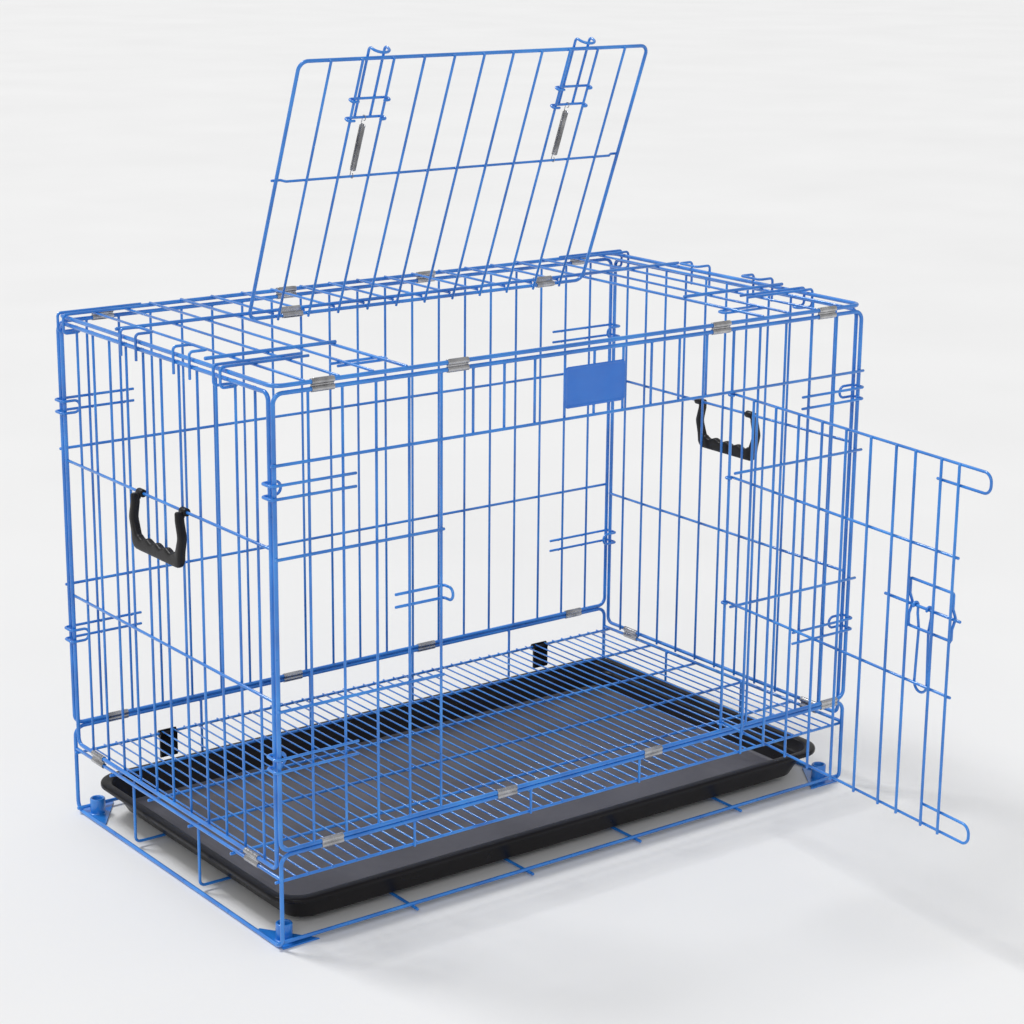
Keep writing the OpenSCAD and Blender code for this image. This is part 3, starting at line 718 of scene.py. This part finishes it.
def roof_hooks(shape):
    """Hairpin snap hooks: legs on the roof, the closed end holds the side panel's top wire."""
    top = ROOF_BAR_Z - 0.4
    low = WALL_TOP - 8.5
    for side in (-1, 1):
        for y in ROOF_HOOK_YS:
            leg = [(287, y, top), (HALF_L + 6, y, top), (HALF_L + 6, y, low), (366, y, low)]
            path = leg + [(a, b - HOOK_PITCH, c) for a, b, c in reversed(leg)]
            tube(shape, [(side * a, b, c) for a, b, c in path], HOOK_R,
                 [0, 4, 4, 6.4, 6.4, 4, 4, 0])
            for k in (8, 9):
                for level in (y, y - HOOK_PITCH):
                    weld(shape, (side * k * BACK_PITCH, level, top - 1.5), (1.7, 1.7, 0.7))


def hatch_stops(shape):
    """Hairpins under the roof wires whose closed ends reach into the opening."""
    z = ROOF_WIRE_Z - 2 * ROOF_WIRE_R + 0.3
    end = 279
    tip = 219
    back, front = HATCH_STOP_YS
    for side in (-1, 1):
        tube(shape, [(side * end, back, z), (side * tip, back, z), (side * tip, front, z),
                     (side * end, front, z)], ROOF_WIRE_R, 6.4)
        for k in (6, 7):
            for y in HATCH_STOP_YS:
                weld(shape, (side * k * BACK_PITCH, y, z + 1.4), (1.6, 1.6, 0.7))


# ---- sheet clips ----

CLIP_WALL = 0.85
CLIP_LENGTH = 25


def clip_outline(gap, rp, rq, inset):
    """Outline of a sheet pinched round two wires: p at the origin and q at (gap, 0)."""
    waist = 0.12 if inset else CLIP_WALL
    half = []
    for centre, radius, start, stop in ((0, rp, 180, 52), (gap, rq, 128, 0)):
        radius += 0.06 + (0 if inset else CLIP_WALL)
        half += arc((centre, 0), radius, start, stop, 10)
        if centre == 0:
            touch = max(math.sqrt(max(radius ** 2 - (gap / 2) ** 2, 0)), waist)
            half += [(gap * 0.42, touch), (gap * 0.58, touch)]
    return half + [(a, -b) for a, b in reversed(half[1:-1])]


def clip(shape, centre, p, q, rp, rq, along):
    """Sheet clip at a place along X or Y; p and q are the wires in the plane across it."""
    p = Vector(p)
    q = Vector(q)
    u = (q - p).normalized()
    w = Vector((-u.y, u.x))
    gap = (q - p).length
    outer = clip_outline(gap, rp, rq, False)
    inner = clip_outline(gap, rp, rq, True)
    lap = [(a, b) for a, b in outer if a > gap * 0.9 and b > -0.2]

    def place(point, s):
        flat = p + u * point[0] + w * point[1]
        return (s, flat.x, flat.y) if along == "X" else (flat.x, s, flat.y)

    half = CLIP_LENGTH / 2
    rings = []
    for outline, s in ((inner, -half), (outer, -half), (outer, half), (inner, half)):
        rings.append([place(point, centre + s) for point in outline])
    shape.loft(rings, closed=True)
    if len(lap) > 3:
        middle = Vector((gap, 0))
        raised = []
        for a, b in lap:
            away = (Vector((a, b)) - middle).normalized() * 0.3
            raised.append((a + away.x, b + away.y))
        strip = lap + raised[::-1]
        shape.loft([[place(point, centre + s) for point in strip] for s in (-half * 0.8, half * 0.8)])


def seam_clips(shape, xs, y, low, high):
    for x in xs:
        clip(shape, x, (y, low), (y, high), FRAME_R, FRAME_R, "X")


def base_front_clips(shape):
    seam_clips(shape, BASE_FRONT_CLIP_XS, -HALF_W, BASE_H, SILL_Z)


def base_back_clips(shape):
    seam_clips(shape, BACK_CLIP_XS, HALF_W, BASE_H, SILL_Z)


def roof_front_clips(shape):
    seam_clips(shape, ROOF_FRONT_CLIP_XS, -HALF_W, WALL_TOP, ROOF_Z)


def roof_back_clips(shape):
    seam_clips(shape, BACK_CLIP_XS, HALF_W, WALL_TOP, ROOF_Z)


def base_side_clips(shape):
    for side in (-1, 1):
        for y in (-BASE_SIDE_CLIP_Y, BASE_SIDE_CLIP_Y):
            clip(shape, y, (side * HALF_L, GRID_Z), (side * HALF_L, SIDE_LOW_Z), RAIL_R, FRAME_R, "Y")


def hatch_clips(shape):
    for side in (-1, 1):
        clip(shape, side * HATCH_CLIP_X, (BAR_Y, ROOF_BAR_Z), (HATCH_Y, HATCH_Z), BAR_R, HATCH_R, "X")


# ---- tray ----

def tray(shape):
    """Moulded pan: rolled rim, drafted walls and a raised floor panel inside a gutter."""
    wall = 2
    low = 8.8
    under = [(314, 155, 14, low + 1), (316, 157, 15, low), (343, 184, 22, low),
             (344.6, 185.6, 23, low + 0.5), (345.4, 186.4, 24, low + 1.6)]
    rim = [(9.9, 28, 3.6), (9, 28, 2), (3, 32, wall), (2, 32, 3), (2, 32, 4.7), (1, 33, 5),
           (0.2, 34, 4.6), (0, 34, 3.8), (0, 34, 1.6), (0.7, 33, 0.5), (2, 32, 0), (8.5, 29, 0),
           (10.2, 28, 0.5), (11.1, 27, 1.8)]   # inset, corner and drop from the rim's outer top edge
    inside = [(354.5, 193.6, 25, 30), (352.5, 191.6, 24.5, 28.8), (351.6, 190.7, 24, 27.6),
              (343.6, 184.6, 22, low + 4.2), (342.4, 183.4, 21, low + 2.8),
              (339.5, 180.5, 20, low + wall), (322, 163, 17, low + wall),
              (319.5, 160.5, 16, low + 2.4), (317, 158, 15, low + 3)]
    rolled = [(RIM_X - inset, RIM_Y - inset, corner, RIM_Z - drop) for inset, corner, drop in rim]
    shape.loft([rounded_rect(*section) for section in under + rolled + inside])


def paint_floor_sheen(obj):
    """The raised floor panel and its gutter get a coarser grain than the glossy walls, and a paler grey that
    is painted sheen: a painted reflection of the pale surround on the black floor.
    """
    obj.data.materials.append(TRAY_FLOOR_PAINTED_SHEEN)
    for face in obj.data.polygons:
        if face.normal.z > 0.5 and face.center.z < TRAY_FLOOR_TOP * MM:
            face.material_index = 1


# ---- side panels ----

def side_panel(side):
    """End wall: a hoop, its uprights on the inside and two cross wires on the outside."""
    def build(shape):
        x = side * HALF_L
        wire_x = side * SIDE_WIRE_X
        tube(shape, [(x, -SIDE_Y, SIDE_LOW_Z), (x, SIDE_Y, SIDE_LOW_Z), (x, SIDE_Y, WALL_TOP),
                     (x, -SIDE_Y, WALL_TOP)], FRAME_R, 8, True, 14)
        for k in range(-5, 6):
            y = k * SIDE_PITCH
            rod(shape, (wire_x, y, SIDE_LOW_Z - 2.8), (wire_x, y, WALL_TOP + 1), UPRIGHT_R)
            for z in SIDE_WIRE_ZS:
                weld(shape, (side * (SIDE_WIRE_X + 1.35), y, z), (0.8, 1.7, 1.7))
            for z in (SIDE_LOW_Z, WALL_TOP):
                weld(shape, (side * (SIDE_WIRE_X + 1.3), y, z), (0.9, 1.8, 1.8))
        for z in SIDE_WIRE_ZS:
            rod(shape, (side * HANDLE_X, -SIDE_Y - 2, z), (side * HANDLE_X, SIDE_Y + 2, z), CROSS_R)
    return build


def top_loops(side):
    """Two springy U wires that reach up and in over the roof's edge."""
    def build(shape):
        x = HALF_L + FRAME_R + HOOK_R - 0.3
        low = WALL_TOP - 12
        top = ROOF_Z + 8.5
        inner = 363
        near, far = LOOP_YS
        for face in (-1, 1):
            path = [(x, near, low), (x, near, top), (inner, near, top), (inner, far, top),
                    (x, far, top), (x, far, low)]
            tube(shape, [(side * a, face * b, c) for a, b, c in path], HOOK_R, 4)
            for y in LOOP_YS:
                weld(shape, (side * (x - 1.7), face * y, WALL_TOP), (0.9, 1.7, 2))
    return build


def handle(side):
    """Carry handle: two split collars on the cross wire and a grip with finger grooves."""
    thick = 4.5
    wire_z = SIDE_WIRE_ZS[1]
    low = wire_z - 58
    grip_top = low + 16
    groove = 1.5
    groove_pitch = 20
    squareness = 0.62
    around = 24

    def finger(y):
        wave = math.cos(2 * math.pi * (y - groove_pitch / 2) / groove_pitch)
        return grip_top - groove * (1 + wave)

    def build(shape):
        centre_x = side * (HANDLE_X + CROSS_R + 0.4 + thick)
        pairs = [((-48.4, wire_z + 0.5), (-43.4, wire_z + 0.5)),
                 ((-49.4, wire_z - 1), (-42.4, wire_z - 1)),
                 ((-50.2, wire_z - 9), (-42.4, wire_z - 9)),
                 ((-54, wire_z - 22), (-45.4, wire_z - 21)),
                 ((-54.6, wire_z - 25), (-46, wire_z - 25)),
                 ((-54.2, wire_z - 28), (-45.6, wire_z - 28)),
                 ((-51, low + 17), (-42, low + 21))]
        corner = arc((-41, low + 9), 9, 190, 270, 8)
        inner = arc((-37, grip_top + 4), 4, 190, 270, 8)
        pairs += list(zip(corner, inner))
        pairs += [((y, low), (y, finger(y))) for y in range(-36, 1, 2)]
        pairs += [((-a, b), (-c, d)) for (a, b), (c, d) in reversed(pairs[:-1])]
        rings = []
        for i, (outer, hollow) in enumerate(pairs):
            outer = Vector(outer)
            hollow = Vector(hollow)
            middle = (outer + hollow) / 2
            across = (hollow - outer) / 2
            depth = thick * (0.82 if i in (0, len(pairs) - 1) else 1)
            ring = []
            for k in range(around):
                a = 2 * math.pi * k / around
                c = math.copysign(abs(math.cos(a)) ** squareness, math.cos(a))
                s = math.copysign(abs(math.sin(a)) ** squareness, math.sin(a))
                flat = middle + across * c
                ring.append((centre_x + depth * s, flat.x, flat.y))
            rings.append(ring)
        shape.loft(rings)
        bore = CROSS_R + 0.06
        for face in (-1, 1):
            profile = [(bore, -5.5), (3.4, -5.5), (4.0, -5.1), (4.2, -4.5), (4.2, 4.5), (4.0, 5.1),
                       (3.4, 5.5), (bore, 5.5)]
            lathe(shape, profile, (side * HANDLE_X, face * HANDLE_EYE_Y, wire_z), "Y")
            tube(shape, [(side * (HANDLE_X + 2.6), face * HANDLE_EYE_Y, wire_z + 0.4),
                         (side * (HANDLE_X + 4.6), face * (HANDLE_EYE_Y + 1), wire_z - 6)], 3.6, 0)
    return build


# ---- hatch ----

def hatch_panel(shape):
    """Top door: hoop, wires on its inside and a cross wire that steps over the hoop's sides."""
    w = HATCH_HALF
    mid_n = HATCH_IN_N + UPRIGHT_R + ROOF_WIRE_R - 0.2
    over_n = HATCH_R + ROOF_WIRE_R - 0.2
    jog = w - 10
    tube(shape, [(-w, 0, 0), (w, 0, 0), (w, HATCH_L, 0), (-w, HATCH_L, 0)], HATCH_R, 10, True, 14)
    for k in range(-5, 6):
        x = k * FRONT_PITCH
        rod(shape, (x, -3, HATCH_IN_N), (x, HATCH_L + 1.5, HATCH_IN_N), UPRIGHT_R)
        for s in (0, HATCH_L):
            weld(shape, (x, s, HATCH_IN_N + 1.3), (1.7, 1.8, 0.8))
        weld(shape, (x, HATCH_MID_S, HATCH_IN_N + 1.3), (1.6, 1.6, 0.7))
    tube(shape, [(-w - 4, HATCH_MID_S, over_n), (-jog - 3, HATCH_MID_S, over_n),
                 (-jog + 2, HATCH_MID_S, mid_n), (jog - 2, HATCH_MID_S, mid_n),
                 (jog + 3, HATCH_MID_S, over_n), (w + 4, HATCH_MID_S, over_n)],
         ROOF_WIRE_R, 2.5)
    for side in (-1, 1):
        weld(shape, (side * w, HATCH_MID_S, HATCH_R - 0.1), (1.7, 1.6, 0.8))


def hatch_latch(side):
    """Sliding hairpin with two cross bars, whose ends curl round the hatch's wires."""
    def build(shape):
        a = LATCH_X - LATCH_HALF
        b = LATCH_X + LATCH_HALF
        start = LATCH_BARS[0] - 2
        hook_n = -11
        path = [(a, start, LATCH_N), (a, LATCH_TIP, LATCH_N), (a, LATCH_TIP, hook_n),
                (b, LATCH_TIP, hook_n), (b, LATCH_TIP, LATCH_N), (b, start, LATCH_N)]
        tube(shape, [(side * p[0], p[1], p[2]) for p in path], HOOK_R, [0, 4, 9.4, 9.4, 4, 0])
        reach = 23.4
        curl = 8.5
        grip_n = -6.3
        for s in LATCH_BARS:
            path = [(LATCH_X - reach + curl, grip_n), (LATCH_X - reach, grip_n),
                    (LATCH_X - reach, LATCH_BAR_N), (LATCH_X + reach, LATCH_BAR_N),
                    (LATCH_X + reach, grip_n), (LATCH_X + reach - curl, grip_n)]
            tube(shape, [(side * x, s, n) for x, n in path], ROOF_WIRE_R, 3)
            for x in (a, b):
                weld(shape, (side * x, s, LATCH_BAR_N + 1.4), (1.6, 1.6, 0.7))
    return build


def latch_spring(side):
    """Close-wound tension spring with a hook at each end."""
    low = 170
    high = 222
    axis_n = LATCH_BAR_N - 0.8
    turns = 50
    per_turn = 14
    hook_r = 2.8

    def build(shape):
        x = side * LATCH_X
        coil = []
        for k in range(turns * per_turn + 1):
            a = 2 * math.pi * k / per_turn + math.pi / 2
            s = low + (high - low) * k / (turns * per_turn)
            coil.append((x + SPRING_R * math.cos(a), s, axis_n + SPRING_R * math.sin(a)))
        tube(shape, coil, SPRING_WIRE_R, 0, sides=6)
        for centre, foot, way in ((HATCH_MID_S + 0.6, low, -1), (LATCH_BARS[0] - 0.4, high, 1)):
            hook = [(x, foot - way * 0.4, axis_n + SPRING_R)]
            for k in range(15):
                a = math.radians(90 - 19 * k)
                hook.append((x, centre + way * hook_r * math.cos(a), axis_n + hook_r * math.sin(a)))
            tube(shape, hook, SPRING_WIRE_R, 0, sides=8)
    return build


# ---- door ----

def door_panel(shape):
    """Door: two long U wires and two rungs that curl round the hinge wire, and its uprights."""
    def loop(z, back_z, back_w):
        tube(shape, [(3, LIP_N, z), (DOOR_REACH, LIP_N, z), (DOOR_REACH, LIP_N, back_z),
                     (back_w, LIP_N, back_z)], HOOK_R, 9)

    loop(DOOR_TOP_Z, DOOR_TOP_Z - 20.5, 323)
    loop(DOOR_LOW_Z, DOOR_LOW_Z + 20, 328)
    for z in DOOR_RUNG_ZS[::-1]:
        rod(shape, (3, LIP_N, z), (360, LIP_N, z), HOOK_R)
    for z in DOOR_WIRE_ZS:
        eye = [(3.5, LIP_N, z)]
        for k in range(18):
            a = math.radians(90 + 17 * k)
            eye.append((EYE_R * math.cos(a), EYE_R * math.sin(a), z - 0.9 * k / 17))
        tube(shape, eye, HOOK_R - 0.15, 0)
    for w in [k * FRONT_PITCH for k in range(1, 8)] + [GUIDE_W, LAST_UPRIGHT_W, DOOR_EDGE]:
        rod(shape, (w, UPRIGHT_N, DOOR_LOW_Z - 2.5), (w, UPRIGHT_N, DOOR_TOP_Z + 0.9), HOOK_R)
        for z in DOOR_WIRE_ZS:
            weld(shape, (w, LIP_N - HOOK_R + 0.1, z), (1.7, 0.8, 1.7))


def bolt_guide(shape):
    """Two uprights of the guide with a peaked bump each, joined to a loop above and below the bolt."""
    n = LIP_N + 0.2
    low = CATCH_Z - 22.5
    high = CATCH_Z + 26
    peak = BOLT_N + CROSS_R + HOOK_R + 0.6
    foot = 10.5
    path = [(GUIDE_W, n, high), (DOOR_EDGE, n, high), (DOOR_EDGE, n, CATCH_Z + foot),
            (DOOR_EDGE, peak, CATCH_Z), (DOOR_EDGE, n, CATCH_Z - foot), (DOOR_EDGE, n, low),
            (GUIDE_W, n, low), (GUIDE_W, n, CATCH_Z - foot), (GUIDE_W, peak, CATCH_Z),
            (GUIDE_W, n, CATCH_Z + foot)]
    tube(shape, path, HOOK_R, [2.5, 2.5, 3, 3, 3, 2.5, 2.5, 3, 3, 3], True)
    for w in (GUIDE_W, LAST_UPRIGHT_W, DOOR_EDGE):
        for z in (low, high):
            weld(shape, (w, n - HOOK_R, z), (1.7, 0.8, 1.7))


def door_bolt(shape):
    rod(shape, (256.5, BOLT_N, CATCH_Z), (367, BOLT_N, CATCH_Z), CROSS_R)


def bolt_handle(shape):
    """Drop handle: each leg leans in from its eye round the bolt to the narrow loop below."""
    r = 1.4
    over = CROSS_R + 0.08 + r
    n = BOLT_N + over
    left, right = GRIP_W
    shoulder = CATCH_Z - 9
    waist = CATCH_Z - 24
    low = 246
    tube(shape, [(left - 0.2, n, CATCH_Z), (left - 0.2, n, shoulder), (left + 2.5, n, waist),
                 (left, n, low), (right, n, low), (right - 2.5, n, waist),
                 (right + 0.2, n, shoulder), (right + 0.2, n, CATCH_Z)],
         r, [0, 8, 8, 9.4, 9.4, 8, 8, 0])
    for w in (left - 0.2, right + 0.2):
        eye = [(w, BOLT_N + over * math.cos(math.radians(15 * k)),
                CATCH_Z + over * math.sin(math.radians(15 * k))) for k in range(-1, 15)]
        tube(shape, eye, r, 0)


# ---- pieces ----

for node, build in (("base_frame", base_frame), ("tray_wires", tray_wires),
                    ("base_side_wires", base_side_wires), ("floor_grid", floor_grid),
                    ("front_panel", front_panel), ("door_catch", door_catch),
                    ("back_panel", back_panel), ("corner_hooks_front", corner_hooks_front),
                    ("corner_hooks_back", corner_hooks_back), ("roof_panel", roof_panel),
                    ("roof_hooks", roof_hooks), ("hatch_stops", hatch_stops)):
    wires(node, build)

for name, side in (("left", -1), ("right", 1)):
    wires(name + "_side_panel", side_panel(side))
    wires(name + "_top_loops", top_loops(side))
    wires(name + "_hatch_latch", hatch_latch(side), HATCH_PLACE)
    piece(name + "_latch_spring", latch_spring(side), SPRING, HATCH_PLACE)
    piece(name + "_handle", handle(side), HANDLE)

for node, build in (("base_front_clips", base_front_clips), ("base_back_clips", base_back_clips),
                    ("base_side_clips", base_side_clips), ("roof_front_clips", roof_front_clips),
                    ("roof_back_clips", roof_back_clips), ("hatch_clips", hatch_clips)):
    piece(node, build, ZINC, bevel=0.15)

wires("hatch_panel", hatch_panel, HATCH_PLACE)
for node, build in (("door_panel", door_panel), ("bolt_guide", bolt_guide),
                    ("door_bolt", door_bolt), ("bolt_handle", bolt_handle)):
    wires(node, build, DOOR_PLACE)

piece("corner_plates", corner_plates, PAINT, bevel=0.3)
piece("name_plate", name_plate, PLATE)
piece("tray_catches", tray_catches, CATCH)
# The tray's floor panel and gutter get the paler material: painted sheen.
paint_floor_sheen(piece("tray", tray, TRAY))


# ---- studio ----

def make_floor():
    """Wide floor just under the feet; sizes in metres."""
    mesh = bpy.data.meshes.new("studio_floor")
    size = 40
    gap = 0.0002
    mesh.from_pydata([(-size, -size, 0), (size, -size, 0), (size, size, 0), (-size, size, 0)], [],
                     [(0, 1, 2, 3)])
    mesh.materials.append(floor_finish())
    obj = bpy.data.objects.new("studio_floor", mesh)
    obj.location.z = -gap
    bpy.context.scene.collection.objects.link(obj)


def soft_sun(name, towards, power, spread):
    """Far, large soft light; towards is the way it shines and spread its width in degrees."""
    light = bpy.data.lights.new(name, "SUN")
    light.energy = power
    light.angle = math.radians(spread)
    obj = bpy.data.objects.new(name, light)
    obj.rotation_mode = "QUATERNION"
    obj.rotation_quaternion = Vector(towards).to_track_quat("-Z", "Y")
    bpy.context.scene.collection.objects.link(obj)


def make_world():
    """Even pale surround."""
    world = bpy.data.worlds.new("studio")
    world.use_nodes = True
    back = world.node_tree.nodes["Background"]
    back.inputs["Color"].default_value = (0.86, 0.86, 0.86, 1)
    back.inputs["Strength"].default_value = 0.62
    bpy.context.scene.world = world


def make_camera():
    """Long lens from the front left, a little above the roof; angles round the crate and place in metres."""
    azimuth = math.radians(-37.048)
    elevation = math.radians(15.274)
    roll = math.radians(0.538)
    back = Vector((math.sin(azimuth) * math.cos(elevation), -math.cos(azimuth) * math.cos(elevation),
                   math.sin(elevation)))
    right = Vector((0, 0, 1)).cross(back).normalized()
    up = back.cross(right)
    turned_right = right * math.cos(roll) + up * math.sin(roll)
    turned_up = up * math.cos(roll) - right * math.sin(roll)
    camera = bpy.data.objects.new("camera", bpy.data.cameras.new("camera"))
    camera.data.sensor_width = 36
    camera.data.lens = 82
    camera.rotation_mode = "QUATERNION"
    camera.rotation_quaternion = Matrix((turned_right, turned_up, back)).transposed().to_quaternion()
    camera.location = (-1.466, -2.0245, 1.0209)
    bpy.context.scene.collection.objects.link(camera)
    bpy.context.scene.camera = camera


make_floor()
make_world()
soft_sun("key", (0.35, -0.75, -1.25), 1.75, 14)
soft_sun("front", (0.75, 0.9, -0.8), 0.55, 30)
make_camera()
bpy.context.scene.view_settings.view_transform = "Standard"
